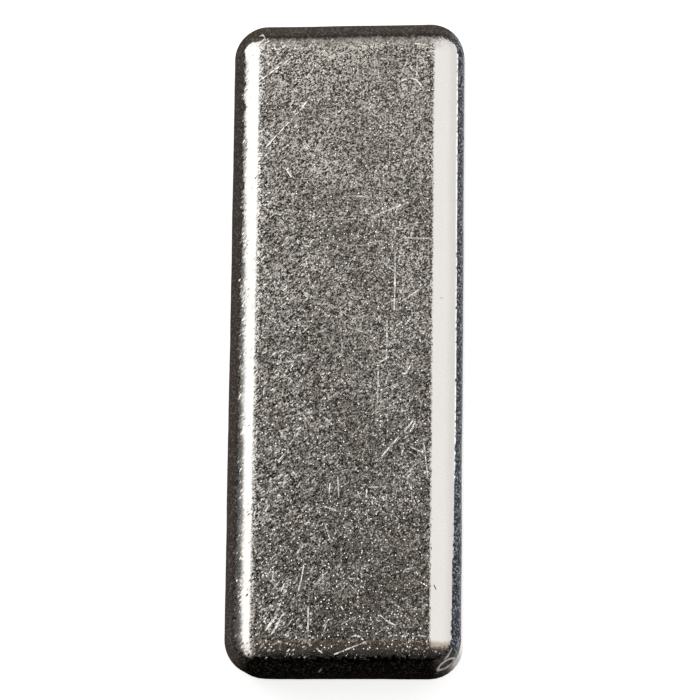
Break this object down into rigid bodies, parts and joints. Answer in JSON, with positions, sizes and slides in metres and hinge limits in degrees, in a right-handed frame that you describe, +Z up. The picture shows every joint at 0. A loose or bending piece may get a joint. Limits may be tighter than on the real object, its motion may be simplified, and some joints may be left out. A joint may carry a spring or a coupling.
{
  "type": "metal ingot",
  "caption": "Cast bar of silver-coloured metal: a long flat block with rounded corners, straight walls and a smooth rolled edge round its grainy upper face.",
  "frame": {"origin": "middle of the lower face, on which the bar rests", "axes": "+Y along the bar's length, +X across its width, +Z up through its thickness to the rolled upper face"},
  "size_m": [0.0474, 0.1334, 0.0156],
  "materials": {
    "cast_silver": "as cast, grainy on the flat faces and smooth on the rolled edge"
  },
  "bodies": {
    "root": {"ingot": "cast_silver"}
  },
  "joints": []
}
